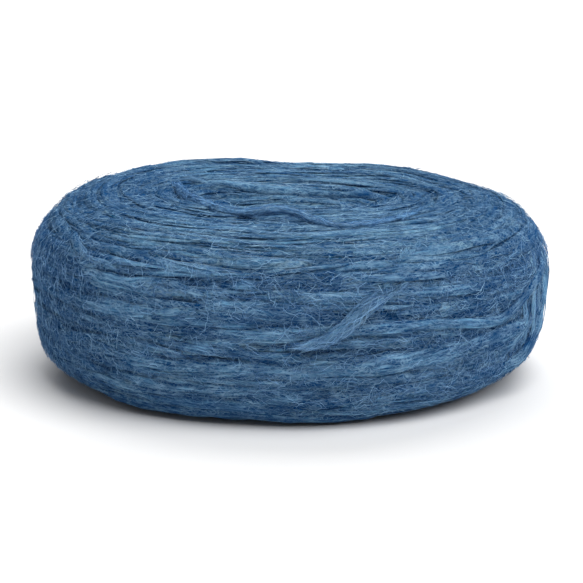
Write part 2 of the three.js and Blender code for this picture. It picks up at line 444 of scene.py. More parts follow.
def laid_lap(chance, angles, distances, lift, girth, tint, shade):
    """A lap along the form. Its ends dive under the turns beside it, so that no end shows. Its shade has
    painted light on crests and round the shoulder, and painted shade in valleys and towards the heel."""
    line, out, _ = turned_surface(distances, angles)
    run = distances_along(line)
    from_end = np.minimum(run, run[-1] - run)
    dive = END_DIVE * (1 - smoothstep(0, min(DIVE_RUN, run[-1] / 4), from_end))
    wave = 0.25 * ripple(chance, run, 9, 16)
    swell = 1 + 0.12 * ripple(chance, run, 6, 12) + 0.06 * ripple(chance, run, 3, 5)
    middle = line + out * (lift + wave - dive)[:, None]
    middle[:, 2] = np.maximum(middle[:, 2], 0.55 * STRAND_FLATNESS * girth + FLOOR_GAP)
    tint = tint + 0.3 * ripple(chance, run, 12, 30)
    # Painted light and shade: lighter on the crests of bands and folds, round the shoulder and a little below
    # it; darker in their valleys and towards the heel.
    shade = (shade * (1 + 0.12 * ripple(chance, run, 10, 25))
             + 0.32 * bands(distances, angles) + 0.85 * front_folds(distances, angles)
             + 0.12 * near(distances, 86, 12) + 0.06 * near(distances, 106, 9)
             - 0.18 * smoothstep(120, 148, distances))
    return Lap(middle, out, girth * swell, tint, shade)


def routed_lap(chance, route, lift, girth, tint, shade):
    """A lap along a route of angles in degrees and distances along the section."""
    line = smooth_line(route, 12)
    return laid_lap(chance, np.radians(line[:, 0]), line[:, 1], lift, girth, tint, shade)


def wind_turns(chance):
    """The whole winding, lap by lap, from the middle of the eye over the rim to that of the underside."""
    laps = []
    distance = WINDING_MARGIN
    while distance < SECTION_END - WINDING_MARGIN:
        out = how_far_out(distance)
        level = distance < LEVEL_TOP
        under = distance > UNDERSIDE
        count = max(1, round(FULL_TURN * out / LONGEST_LAP))
        start = chance.uniform(0, FULL_TURN)
        for i in range(count):
            span = FULL_TURN / count * chance.uniform(1.08, 1.3)
            length = span * max(out, 4)
            u = np.linspace(0, 1, max(14, int(length / LAP_STEP)))
            slack = min(1, out / 40)
            drift = 0 if under else chance.normal(0, 7.5) * slack
            wander = 0.3 if under else chance.uniform(0.3, 1.4) * slack
            waves = chance.uniform(0.7, 2.2)
            distances = (distance + chance.normal(0, 0.9) * slack + drift * (u - 0.5)
                         + wander * np.sin(FULL_TURN * (waves * u + chance.uniform(0, 1)))
                         + 0.3 * slack * ripple(chance, length * u, 7, 14))
            uneven = 0 if under else 0.25 if level else 0.5
            lift = (-2.4 if level else -1.6) + np.clip(chance.normal(0, 1), -1.6, 1.5) * uneven
            girth = STRAND_WIDTH * chance.uniform(0.75, 1.25) * (1.15 if distance < SHOULDER else 1)
            laps.append(laid_lap(chance, start + FULL_TURN * i / count + span * u, distances, lift, girth,
                                 chance.uniform(0, 1), 1 + 0.24 * np.clip(chance.normal(0, 1), -1.8, 1.5)))
        distance += STRAND_PITCH
    return laps


def crossing_laps(chance):
    return [routed_lap(chance, route, lift + CROSSING_LIFT, girth + CROSSING_EXTRA_GIRTH, tint, shade)
            for _, lift, girth, tint, shade, route in CROSSING_LAPS]


def veils(chance):
    """Thin veils of fibre that have come loose from the turns and lie over them, slanting across the gaps.
    On the top they lie closer, lower and longer."""
    laps = []
    while len(laps) < VEIL_COUNT:
        distance = chance.uniform(*VEILED)
        on_top = distance < SHOULDER
        out = how_far_out(distance)
        if chance.uniform(0, PLATE_RADIUS) > out * (2.0 if on_top else 1):
            continue
        length = chance.uniform(60, 160) if on_top else chance.uniform(35, 120)
        u = np.linspace(-0.5, 0.5, int(length / LAP_STEP))
        angles = chance.uniform(-math.pi, math.pi) + length / out * u
        bend = chance.uniform(0.2, 1.0)
        bend = bend * np.sin(FULL_TURN * (chance.uniform(0.5, 1.5) * u + chance.uniform(0, 1)))
        distances = distance + chance.normal(0, 5.0) * u + bend
        lift = chance.uniform(-0.7, 0.3) * (0.6 if on_top else 1)
        lap = laid_lap(chance, angles, distances, lift, chance.uniform(1.4, 4.2),
                       chance.uniform(0, 1), chance.normal(1.0, 0.2))
        laps.append(lap.thinned(0.5 - np.abs(u)))
    return laps


def wisps(chance):
    laps = []
    for lift, girth, shade, route in WISPS:
        lap = routed_lap(chance, route, lift, girth, chance.uniform(0, 1), shade)
        share = np.linspace(0, 1, len(lap.points))
        laps.append(lap.thinned(np.minimum(share, 1 - share)))
    return laps


def stray_fibres():
    laps = []
    for route in STRAY_FIBRES:
        line = smooth_line(route, 6)
        points, out, _ = turned_surface(line[:, 1], np.radians(line[:, 0]))
        laps.append(Lap(points + out * (line[:, 2:] + STRAY_STAND), out, STRAY_GIRTH, 0.6, 1.0))
    return laps


def loose_lap(line, girth, tint, shade, shape):
    """A loose end as a lap: its own route and shape, with out taken from the form below it."""
    run = distances_along(line)
    shares, girths, shades, sinks = zip(*shape)
    girth = girth * np.interp(run / run[-1], shares, girths)
    shade = shade * np.interp(run / run[-1], shares, shades)
    sink = np.interp(run / run[-1], shares, sinks)
    grid_distance, grid_angle = np.meshgrid(np.linspace(1, 150, 150), np.linspace(-math.pi, math.pi, 360))
    points, outs, _ = form_frame(grid_distance.ravel(), grid_angle.ravel())
    out = np.array([outs[np.argmin(((points - p) ** 2).sum(1))] for p in line])
    return Lap(line - out * sink[:, None], out, girth / MM, tint, shade)


# What meshes carry

def carry(mesh, **layers):
    """Gives each point of a mesh a number or a vector to carry under each name."""
    for key, values in layers.items():
        values = np.ascontiguousarray(values, np.float32)
        kind, field = ("FLOAT_VECTOR", "vector") if values.ndim == 2 else ("FLOAT", "value")
        mesh.attributes.new(key, kind, "POINT").data.foreach_set(field, values.ravel())


def carried_by(mesh, key):
    """What each point of a mesh carries under a name."""
    layer = mesh.attributes[key]
    wide = layer.data_type == "FLOAT_VECTOR"
    number = np.int32 if layer.data_type == "INT" else np.float32
    values = np.zeros(len(mesh.vertices) * (3 if wide else 1), number)
    layer.data.foreach_get("vector" if wide else "value", values)
    return values.reshape(-1, 3) if wide else values


def lap_lines(name, laps):
    """A mesh of bare lines, one for each lap, that carries what the laps know of themselves."""
    sizes = [len(lap.points) for lap in laps]
    starts = np.r_[0, np.cumsum(sizes)]
    points = np.vstack([lap.points for lap in laps]) * MM
    edges = np.vstack([np.stack([np.arange(n - 1), np.arange(1, n)], 1) + s for n, s in zip(sizes, starts)])
    mesh = bpy.data.meshes.new(name)
    mesh.from_pydata(points.tolist(), edges.tolist(), [])
    carry(mesh,
          out=np.vstack([lap.out for lap in laps]),
          girth=np.concatenate([lap.girth for lap in laps]) * MM,
          tint=np.concatenate([lap.tint for lap in laps]),
          shade=np.concatenate([lap.shade for lap in laps]))
    return bpy.data.objects.new(name, mesh)


def skin_mesh(name, points, out, lie, thickness, faces):
    """A skin that fuzz grows from, with which way is out and along and how thick the fuzz is there."""
    mesh = bpy.data.meshes.new(name)
    mesh.from_pydata((points * MM).tolist(), [], faces.tolist())
    carry(mesh, out=out, lie=lie, thickness=thickness)
    return bpy.data.objects.new(name, mesh)


def form_skin(name, region):
    """The part of the form that curled fuzz grows from."""
    rings = np.linspace(2.0, 166.0, 100)
    steps = np.linspace(-math.pi, math.pi, 161)
    d, a = np.meshgrid(rings, steps, indexing="ij")
    points, out, lie = turned_surface(d.ravel(), a.ravel())
    index = np.arange(d.size).reshape(d.shape)
    faces = np.stack([index[:-1, :-1], index[1:, :-1], index[1:, 1:], index[:-1, 1:]], -1).reshape(-1, 4)
    wanted = region(points[faces].mean(1), out[faces].mean(1))
    return skin_mesh(name, points + 0.5 * out, out, lie, matting(points), faces[wanted])


def strand_skin(name, piece, region):
    """The outer side of a piece's strands, for the fuzz that grows from them."""
    outer_side = 0.08
    mesh = piece.data
    points = carried_by(mesh, "position") / MM
    out, lie, edge = (carried_by(mesh, key) for key in ("out", "lie", "edge"))
    faces = np.array([p.vertices[:] for p in mesh.polygons if len(p.vertices) == 4])
    wanted = region(points[faces].mean(1), out[faces].mean(1)) & (edge[faces, 0].mean(1) > outer_side)
    return skin_mesh(name, points, out, lie, np.ones(len(points)), faces[wanted])


def end_skin(name, lap, thickness):
    """A round skin along a loose end, for its own fuzz."""
    sides = 10
    way = unit(np.gradient(lap.points, axis=0))
    across = unit(np.cross(way, lap.out))
    up = np.cross(across, way)
    turn = np.arange(sides) * FULL_TURN / sides
    out = across[:, None] * np.cos(turn)[:, None] + up[:, None] * np.sin(turn)[:, None]
    points = lap.points[:, None] + out * (0.45 * lap.girth)[:, None, None]
    index = np.arange(len(lap.points) * sides).reshape(-1, sides)
    after = np.roll(index, -1, 1)
    faces = np.stack([index[:-1], after[:-1], after[1:], index[1:]], -1).reshape(-1, 4)
    return skin_mesh(name, points.reshape(-1, 3), out.reshape(-1, 3), np.repeat(way, sides, 0),
                     np.repeat(thickness, sides), faces)


def matting(points):
    """How thick the curled fibres are: most on the side, at the left and right, and before the eye."""
    on_side = 0.5 * (1 - smoothstep(50, 62, points[:, 2]))
    ends = 0.9 * smoothstep(25, 80, np.abs(points[:, 0]))
    before_eye = 0.6 * smoothstep(56, 62, points[:, 2]) * smoothstep(20, 60, -points[:, 1])
    thickness = 0.8 + on_side + ends + before_eye
    for middle, width, more in MATTED_PLACES:
        thickness = thickness + more * np.exp(-((points - middle) ** 2).sum(1) / width ** 2)
    return thickness


def top(points, out):
    return out[:, 2] > TOP_LOOKS_UP


def quarter(left, front):
    """A quarter of the side, by whether it is at the left and at the front."""
    def lies_there(points, out):
        beside = (out[:, 2] <= TOP_LOOKS_UP) & (out[:, 2] > SIDE_LOOKS_UP)
        return beside & ((points[:, 0] < 0) == left) & ((points[:, 1] < 0) == front)
    return lies_there


REGIONS = {
    "top": top,
    "front_left": quarter(True, True),
    "front_right": quarter(False, True),
    "back_right": quarter(False, False),
    "back_left": quarter(True, False),
}


# Node trees as expressions

class Value:
    """A socket in a node tree. An expression on it adds the Math or Vector Math node that works it out."""

    def __init__(self, bench, socket):
        self.bench = bench
        self.socket = socket

    def __add__(self, other):
        return self.bench.maths("ADD", self, other)

    def __radd__(self, other):
        return self.bench.maths("ADD", other, self)

    def __sub__(self, other):
        return self.bench.maths("SUBTRACT", self, other)

    def __rsub__(self, other):
        return self.bench.maths("SUBTRACT", other, self)

    def __mul__(self, other):
        return self.bench.maths("MULTIPLY", self, other)

    def __rmul__(self, other):
        return self.bench.maths("MULTIPLY", other, self)

    def __truediv__(self, other):
        return self.bench.maths("DIVIDE", self, other)

    def __rtruediv__(self, other):
        return self.bench.maths("DIVIDE", other, self)

    def is_wide(self):
        return self.socket.type in ("VECTOR", "RGBA")

    def also(self, output):
        """Another output of the same node."""
        return Value(self.bench, self.bench.pick(self.socket.node.outputs, output))


class Bench:
    """A node tree, and the one method that adds any node to it."""

    def __init__(self, tree):
        self.tree = tree

    def node(self, kind, settings=None, inputs=None, output=None):
        node = self.tree.nodes.new(kind)
        for name, value in (settings or {}).items():
            setattr(node, name, value)
        for name, value in (inputs or {}).items():
            socket = self.pick(node.inputs, name)
            if isinstance(value, Value):
                self.tree.links.new(value.socket, socket)
            elif socket.type in ("VECTOR", "RGBA") and not hasattr(value, "__len__"):
                socket.default_value = [value] * 3 + [1] * (socket.type == "RGBA")
            else:
                socket.default_value = value
        return Value(self, self.pick(node.outputs, output)) if len(node.outputs) else node

    @staticmethod
    def pick(sockets, name):
        if isinstance(name, int):
            return sockets[name]
        return next(s for s in sockets if s.enabled and name in (None, s.name))

    def maths(self, operation, *values):
        """A Math node, or a Vector Math node where any of the values is a colour or a vector."""
        wide = any(v.is_wide() if isinstance(v, Value) else hasattr(v, "__len__") for v in values)
        kind = "ShaderNodeVectorMath" if wide else "ShaderNodeMath"
        return self.node(kind, {"operation": operation}, dict(enumerate(values)))

    def most(self, first, second):
        return self.maths("MAXIMUM", first, second)

    def size_of(self, value):
        return self.maths("ABSOLUTE", value)

    def limited(self, value, low, high):
        return self.node("ShaderNodeClamp", None, {"Value": value, "Min": low, "Max": high})

    def noise(self, vector, scale, detail=2.0, roughness=0.5, output="Fac"):
        return self.node("ShaderNodeTexNoise", None,
                         {"Vector": vector, "Scale": scale, "Detail": detail, "Roughness": roughness}, output)

    def joined(self, x, y, z):
        return self.node("ShaderNodeCombineXYZ", None, {"X": x, "Y": y, "Z": z})

    def split(self, vector):
        return self.node("ShaderNodeSeparateXYZ", None, {"Vector": vector})

    def mixed(self, factor, first, second, limited=True):
        return self.node("ShaderNodeMix", {"data_type": "RGBA", "clamp_factor": limited},
                         {"Factor": factor, "A": first, "B": second})

    def carried(self, key, output="Fac"):
        """In a material, what the mesh carries under a name."""
        return self.node("ShaderNodeAttribute", {"attribute_name": key}, None, output)

    def attribute(self, name, kind="FLOAT"):
        """In a geometry tree, what the mesh carries under a name."""
        return self.node("GeometryNodeInputNamedAttribute", {"data_type": kind}, {"Name": name})

    def store(self, geometry, name, value, kind="FLOAT", domain="POINT"):
        return self.node("GeometryNodeStoreNamedAttribute", {"data_type": kind, "domain": domain},
                         {"Geometry": geometry, "Name": name, "Value": value})

    def chance(self, low, high, number, seed):
        return self.node("FunctionNodeRandomValue", {"data_type": "FLOAT"},
                         {"Min": low, "Max": high, "ID": number, "Seed": seed})

    def number(self):
        return self.node("GeometryNodeInputIndex")

    def place(self):
        return self.node("GeometryNodeInputPosition")

    def share_along(self):
        """How far along its line a point is, as a share. Its other output, Length, is in metres."""
        return self.node("GeometryNodeSplineParameter", output="Factor")

    def moved(self, geometry, offset):
        return self.node("GeometryNodeSetPosition", None, {"Geometry": geometry, "Offset": offset})

    def stepped(self, line, step):
        return self.node("GeometryNodeResampleCurve", {"mode": "LENGTH"}, {"Curve": line, "Length": step})

    def tapered(self, along, steepness, least):
        """A share of the girth that falls to the least at both ends of a line."""
        return self.limited(self.maths("MINIMUM", along, 1.0 - along) * steepness, least, 1.0)

    def tube(self, line, sides, flatness=1.0):
        """A closed tube along each line, as thick as its girth, that knows its sides and its section."""
        edge = self.node("GeometryNodeCurvePrimitiveCircle", None, {"Resolution": sides, "Radius": 0.5})
        edge = self.store(edge, "side", self.number() / sides)
        edge = self.node("GeometryNodeTransform", None,
                         {"Geometry": edge, "Scale": self.joined(flatness, 1.0, 1.0)})
        edge = self.store(edge, "edge", self.place(), "FLOAT_VECTOR")
        return self.node("GeometryNodeCurveToMesh", None, {
            "Curve": line, "Profile Curve": edge, "Scale": self.attribute("girth"), "Fill Caps": True})


class Recipe:
    """A Geometry Nodes tree with named inputs for its sizes, which turns an object into a finished piece."""

    def __init__(self, name, measures, counts):
        self.tree = bpy.data.node_groups.new(name, "GeometryNodeTree")
        self.bench = Bench(self.tree)
        sockets = self.tree.interface
        sockets.new_socket("Geometry", in_out="INPUT", socket_type="NodeSocketGeometry")
        sockets.new_socket("Geometry", in_out="OUTPUT", socket_type="NodeSocketGeometry")
        self.keys = {}
        for kind, labels in (("Float", measures), ("Int", counts), ("Material", ["Material"])):
            for label in labels:
                socket = sockets.new_socket(label, in_out="INPUT", socket_type="NodeSocket" + kind)
                self.keys[label] = socket.identifier
        self.given = self.tree.nodes.new("NodeGroupInput")
        self.source = Value(self.bench, self.given.outputs[0])

    def size(self, label):
        return Value(self.bench, self.given.outputs[label])

    def finish(self, mesh):
        """Ends the tree: smooth faces, real geometry and the material."""
        bench = self.bench
        mesh = bench.node("GeometryNodeSetShadeSmooth", None, {"Geometry": mesh})
        mesh = bench.node("GeometryNodeRealizeInstances", None, {"Geometry": mesh})
        mesh = bench.node("GeometryNodeSetMaterial", None,
                          {"Geometry": mesh, "Material": self.size("Material")})
        end = self.tree.nodes.new("NodeGroupOutput")
        self.tree.links.new(mesh.socket, end.inputs[0])
        return self

    def make(self, name, source, material, **sizes):
        """Runs the tree on a source object and returns the result as a plain object."""
        bpy.context.scene.collection.objects.link(source)
        modifier = source.modifiers.new(name, "NODES")
        modifier.node_group = self.tree
        modifier[self.keys["Material"]] = material
        for label, value in sizes.items():
            modifier[self.keys[label.replace("_", " ").capitalize()]] = value
        graph = bpy.context.evaluated_depsgraph_get()
        made = source.evaluated_get(graph)
        mesh = bpy.data.meshes.new_from_object(made, preserve_all_data_layers=True, depsgraph=graph)
        source.modifiers.remove(modifier)
        bpy.data.meshes.remove(source.data)
        mesh.name = name
        lay_out_map(mesh)
        piece = bpy.data.objects.new(name, mesh)
        bpy.context.scene.collection.objects.link(piece)
        return piece


def lay_out_map(mesh):
    """A flat map of the piece: each strand in a cell of its own, along it one way and round it the other."""
    most_rows = 256
    corner_vertex = np.zeros(len(mesh.loops), np.int32)
    mesh.loops.foreach_get("vertex_index", corner_vertex)
    starts = np.zeros(len(mesh.polygons), np.int32)
    mesh.polygons.foreach_get("loop_start", starts)
    row, along, side = (carried_by(mesh, key)[corner_vertex] for key in ("row", "along", "side"))
    sizes = np.diff(np.r_[starts, len(side)])
    highest = np.repeat(np.maximum.reduceat(side, starts), sizes)
    step = 1 / round(1 / max(1e-6, 1 - side.max()))
    wraps = (side < 1e-6) & (highest > 1 - 1.5 * step) & np.repeat(sizes == 4, sizes)
    side = np.where(wraps, 1.0, side)
    columns = math.ceil((row.max() + 1) / most_rows)
    rows = math.ceil((row.max() + 1) / columns)
    across = (row % columns + 0.02 + 0.96 * along) / columns
    up = (row // columns + 0.08 + 0.84 * side) / rows
    uv = mesh.uv_layers.new(name="OFBake")
    uv.data.foreach_set("uv", np.stack([across, up], 1).astype(np.float32).ravel())


def strand_recipe():
    """Draws each lap as a soft, flattened strand with slow lumps."""
    recipe = Recipe("wound strand", ["Step", "Flatness", "Lump height", "Lump scale"], ["Sides"])
    bench = recipe.bench
    along = bench.share_along()
    line = bench.node("GeometryNodeMeshToCurve", None, {"Mesh": recipe.source})
    line = bench.stepped(line, recipe.size("Step"))
    line = bench.node("GeometryNodeSetCurveNormal", {"mode": "FREE"},
                      {"Curve": line, "Normal": bench.attribute("out", "FLOAT_VECTOR")})
    line = bench.store(line, "lie", bench.node("GeometryNodeInputTangent"), "FLOAT_VECTOR")
    line = bench.store(line, "along", along)
    line = bench.store(line, "run", along.also("Length"))
    line = bench.store(line, "row", bench.number(), "INT", "CURVE")
    mesh = bench.tube(line, recipe.size("Sides"), recipe.size("Flatness"))
    lump = bench.noise(bench.place(), recipe.size("Lump scale")) - 0.5
    outward = bench.node("GeometryNodeInputNormal", output="Normal")
    return recipe.finish(bench.moved(mesh, outward * (lump * recipe.size("Lump height"))))


def lock_recipe():
    """Combs locks of fibre over each lap: each lies along a part of it and strays over its outer half."""
    recipe = Recipe("combed lock",
                    ["Locks per metre", "Shortest", "Longest", "Step", "Lock girth", "Stand", "Wander",
                     "Round", "Flatness", "Shade low", "Shade high"], ["Seed"])
    bench = recipe.bench
    size = recipe.size
    seed = size("Seed")
    along = bench.share_along()
    run = along.also("Length")
    line = bench.node("GeometryNodeMeshToCurve", None, {"Mesh": recipe.source})
    lap_length = bench.node("GeometryNodeSplineLength", output="Length")
    line = bench.store(line, "lap length", lap_length, "FLOAT", "CURVE")
    line = bench.node("GeometryNodeDuplicateElements", {"domain": "SPLINE"},
                      {"Geometry": line, "Amount": lap_length * size("Locks per metre")})
    line = bench.store(line, "row", bench.number(), "INT", "CURVE")
    row = bench.attribute("row", "INT")
    share = bench.chance(size("Shortest"), size("Longest"), row, seed) / bench.attribute("lap length")
    share = bench.limited(share, 0.05, 0.9)
    start = bench.chance(0.0, 1.0, row, seed + 1) * (1.0 - share)
    line = bench.node("GeometryNodeTrimCurve", {"mode": "FACTOR"},
                      {"Curve": line, "Start": start, "End": start + share})
    line = bench.stepped(line, size("Step"))
    stray = bench.noise(bench.joined(run * 70.0, row * 7.13, 0.3), 1.0, 1.0) - 0.5
    turn = math.pi / 2 + bench.chance(-0.5, 0.5, row, seed + 2) * size("Round") + stray * size("Wander")
    stand = bench.noise(bench.joined(run * 110.0, row * 5.41, 4.7), 1.0, 1.0) - 0.35
    out = bench.attribute("out", "FLOAT_VECTOR")
    across = bench.maths("CROSS_PRODUCT", bench.node("GeometryNodeInputTangent"), out)
    reach = bench.attribute("girth") * 0.5
    sideways = bench.maths("COSINE", turn) * reach
    upward = bench.maths("SINE", turn) * reach * size("Flatness") + stand * size("Stand")
    line = bench.moved(line, across * sideways + out * upward)
    line = bench.store(line, "along", along)
    line = bench.store(line, "run", run)
    line = bench.store(line, "tint", bench.attribute("tint") + bench.chance(-0.35, 0.35, row, seed + 3))
    shade = bench.chance(size("Shade low"), size("Shade high"), row, seed + 4)
    line = bench.store(line, "shade", bench.attribute("shade") * shade)
    girth = size("Lock girth") * bench.chance(0.5, 1.5, row, seed + 5) * bench.tapered(along, 5.0, 0.15)
    return recipe.finish(bench.tube(bench.store(line, "girth", girth), 3))


def fuzz_recipe():
    """Raises fine fibres all over a skin: each lies near the winding's way, strays from it and curls."""
    recipe = Recipe("raised fuzz",
                    ["Fibres per square metre", "Shortest", "Longest", "Fibre girth", "Spread", "Rise",
                     "Curl", "Curl scale", "Shade low", "Shade high"], ["Joints", "Seed"])
    lowest = (-1.0, -1.0, 0.0003)
    bench = recipe.bench
    size = recipe.size
    seed = size("Seed")
    density = size("Fibres per square metre") * bench.attribute("thickness")
    roots = bench.node("GeometryNodeDistributePointsOnFaces", {"distribute_method": "RANDOM"},
                       {"Mesh": recipe.source, "Seed": seed, "Density": density}, "Points")
    roots = bench.store(roots, "row", bench.number(), "INT")
    row = bench.attribute("row", "INT")
    out = bench.attribute("out", "FLOAT_VECTOR")
    straight = bench.node("GeometryNodeCurvePrimitiveLine", None, {"Start": (-0.5, 0, 0), "End": (0.5, 0, 0)})
    straight = bench.node("GeometryNodeResampleCurve", {"mode": "COUNT"},
                          {"Curve": straight, "Count": size("Joints")})
    way = bench.node("FunctionNodeAxesToRotation", {"primary_axis": "Z", "secondary_axis": "X"},
                     {"Primary Axis": out, "Secondary Axis": bench.attribute("lie", "FLOAT_VECTOR")})
    yaw = bench.joined(0.0, 0.0, bench.chance(-1.0, 1.0, row, seed + 1) * size("Spread"))
    yaw = bench.node("FunctionNodeEulerToRotation", None, {"Euler": yaw})
    way = bench.node("FunctionNodeRotateRotation", {"rotation_space": "LOCAL"},
                     {"Rotation": way, "Rotate By": yaw})
    length = bench.joined(bench.chance(size("Shortest"), size("Longest"), row, seed + 2), 1.0, 1.0)
    fibres = bench.node("GeometryNodeInstanceOnPoints", None,
                        {"Points": roots, "Instance": straight, "Rotation": way, "Scale": length})
    fibres = bench.node("GeometryNodeRealizeInstances", None, {"Geometry": fibres})
    along = bench.share_along()
    arch = 4.0 * along * (1.0 - along)
    free = bench.chance(0.0, 1.0, row, seed + 3)
    lift = size("Rise") * bench.chance(0.0, 1.0, row, seed + 4) * (arch + free * (along * along - arch))
    place = bench.place() + bench.joined(row * 0.0131, row * 0.0077, 0.0)
    curl = (bench.noise(place, size("Curl scale"), 1.0, 0.5, "Color") - 0.5) * size("Curl")
    curl = curl - out * (bench.maths("DOT_PRODUCT", curl, out) * 0.6)
    fibres = bench.moved(fibres, out * lift + curl)
    fibres = bench.node("GeometryNodeSetPosition", None,
                        {"Geometry": fibres, "Position": bench.most(bench.place(), lowest)})
    fibres = bench.store(fibres, "along", along)
    fibres = bench.store(fibres, "run", along.also("Length"))
    fibres = bench.store(fibres, "tint", bench.chance(0.1, 0.9, row, seed + 5))
    fibres = bench.store(fibres, "shade", bench.chance(size("Shade low"), size("Shade high"), row, seed + 6))
    girth = size("Fibre girth") * bench.chance(0.7, 1.3, row, seed + 7) * bench.tapered(along, 4.0, 0.25)
    return recipe.finish(bench.tube(bench.store(fibres, "girth", girth), 3))


# Materials

def linear(red, green, blue):
    """A colour as it looks on a screen, 0 to 255, as the light it gives back."""
    def one(v):
        v /= 255
        return v / 12.92 if v <= 0.04045 else ((v + 0.055) / 1.055) ** 2.4
    return (one(red), one(green), one(blue), 1.0)


def new_material(name):
    material = bpy.data.materials.new(name)
    material.use_nodes = True
    material.node_tree.nodes.clear()
    return material, Bench(material.node_tree)


def shaded(material, bench, colour, roughness, height, strength, sheen, through):
    """Ends a wool material: matt, with a little sheen from the fibre tips."""
    bump = bench.node("ShaderNodeBump", None, {"Strength": strength, "Distance": 0.0004, "Height": height})
    shader = bench.node("ShaderNodeBsdfPrincipled", None, {
        "Base Color": colour,
        "Roughness": roughness,
        "Specular IOR Level": 0.0,
        "Subsurface Weight": through,
        "Subsurface Radius": (0.9, 0.95, 1.0),
        "Subsurface Scale": 0.001,
        "Sheen Weight": sheen,
        "Sheen Roughness": 0.5,
        "Sheen Tint": linear(80, 140, 205),
        "Normal": bump,
    })
    end = material.node_tree.nodes.new("ShaderNodeOutputMaterial")
    material.node_tree.links.new(shader.socket, end.inputs["Surface"])
    return material


def wool(name, deep, light, pale):
    """Heathered wool: long streaks from deep to light along the strand, bluer and greyer by patches, with
    single pale fibres wandering along and across it. It is felted at the left and right of the plate, where
    it is also painted darker as painted shade, most at the left; the strands have painted light on their
    tops and painted shade down their sides; and it is calmer on its top, a little greyer, with a little
    painted light."""
    material, bench = new_material(name)
    run, row = bench.carried("run"), bench.carried("row")
    height = bench.split(bench.carried("edge", "Vector") * bench.carried("girth"))
    across = height.also("Y")
    level = bench.split(bench.carried("edge", "Vector"))
    place = bench.node("ShaderNodeTexCoord", None, None, "Object")

    def waves(per_metre, number):
        spot = bench.joined(run * per_metre, row * 3.1 + number, across * per_metre)
        return bench.noise(spot, 1.0, 1.0) - 0.5

    def thin_lines(pattern, width):
        return bench.limited(1.0 - bench.size_of(pattern - 0.5) / width, 0.0, 1.0)

    def fibres(lean, spacing, width, number):
        bent = across + run * lean + waves(260.0, number) * 0.0045
        own = height / spacing + number + row * 9.7
        return thin_lines(bench.noise(bench.joined(run * 120.0, bent / spacing, own), 1.0, 2.5, 0.45), width)

    def streaks(per_metre, fineness, row_step):
        lines = bench.joined(run * per_metre, combed * fineness, height * fineness + row * row_step)
        return bench.noise(lines, 1.0, 4.0, 0.68)

    # Where it is on the plate: felted towards the left and right, with painted shade there, and calm on the
    # top.
    sideways = bench.split(place)
    ends = bench.split(bench.size_of(place))
    from_middle = bench.maths("LENGTH", place * (1.0, 1.0, 0.0))
    matted_and_shaded = bench.limited((ends / (from_middle + 0.012) - 0.42) * 1.7, 0.2, 0.8)
    calm = bench.limited((ends.also("Z") - 0.054) * 150.0, 0.0, 1.0)

    # Pale fibres: along the strand, leaning to either side of it, and in curls.
    laid = bench.most(fibres(0.0, 0.0013, 0.045, 1.3), fibres(0.35, 0.0019, 0.04, 5.9))
    laid = bench.most(laid, fibres(-0.3, 0.0019, 0.04, 8.2))
    curls = thin_lines(bench.noise(place, 700.0, 1.5, 0.4), 0.04)
    laid = bench.most(laid, (0.6 + 0.55 * matted_and_shaded - 0.1 * calm) * curls)

    # Streaks, shorter on the top, and the lightness that they, the shade and the place give.
    combed = across + waves(120.0, 4.4) * 0.002
    streak = streaks(85.0, 1250.0, 3.7)
    short = streaks(260.0, 500.0, 2.9)
    streak = streak + 0.7 * calm * (short - streak)
    mottle = bench.noise(place * (45.0, 45.0, 150.0), 1.0, 2.0)
    # Painted shade: darker towards the left and right ends, most at the left, as the lamps light the right.
    # Painted light and shade by the edge level: lighter on the strands' tops, darker down their sides.
    swing = (0.85 * (bench.carried("shade") - 1.0) + 0.35 * level - (1.5 - 3.8 * sideways) * (matted_and_shaded - 0.2)
             + 0.4 * (mottle - 0.5))
    swing = swing / (1.0 + 1.6 * bench.size_of(swing))
    # Painted light: the top is a little lighter.
    lightness = bench.limited(0.44 + 0.02 * calm + swing + (2.9 - 0.8 * calm) * (streak - 0.5), 0.0, 1.15)

    # From deep to light, with the pale fibres over it, then bluer and greyer by patches, and a little greyer
    # on the top.
    colour = bench.mixed(lightness * lightness, deep, light, limited=False)
    thick = bench.limited(bench.noise(place, 140.0, 2.0) * 1.6 - 0.25, 0.15, 0.9)
    colour = bench.mixed(laid * (0.5 + 0.75 * lightness) * thick, colour, pale)
    patch = bench.noise(place, 60.0, 3.0, 0.6)
    greyness = bench.limited(bench.carried("tint") * 0.6 + (patch - 0.5) * 1.4 + 0.2, 0.0, 1.0)
    dye = bench.mixed(greyness, (0.93, 0.99, 1.03, 1.0), (1.0, 1.0, 0.99, 1.0))
    greyer_on_top = bench.mixed(calm, (1.0, 1.0, 1.0, 1.0), (0.98, 0.985, 0.955, 1.0))
    roughness = bench.limited(0.8 + 0.3 * streak, 0.0, 1.0)
    return shaded(material, bench, colour * dye * greyer_on_top, roughness, laid + streak, 0.7, 0.1, 0.5)


def fibre_wool(name, blue, pale):
    """Single fibres: pale, some bluer, each changing a little along its run."""
    material, bench = new_material(name)
    shade = bench.carried("shade")
    spot = bench.joined(bench.carried("run") * 300.0, bench.carried("row") * 3.7, 0.0)
    along = bench.noise(spot, 1.0, 2.0, 0.6)
    paleness = 0.3 * bench.carried("tint") + 0.8 * (shade - 0.47) + (along - 0.5) * 0.6
    colour = bench.mixed(bench.limited(paleness, 0.0, 1.0), blue, pale) * (shade * (0.75 + 0.5 * along))
    return shaded(material, bench, colour, bench.limited(0.7 + 0.3 * along, 0.0, 1.0), along, 0.2, 0.05, 0.0)


# Stage

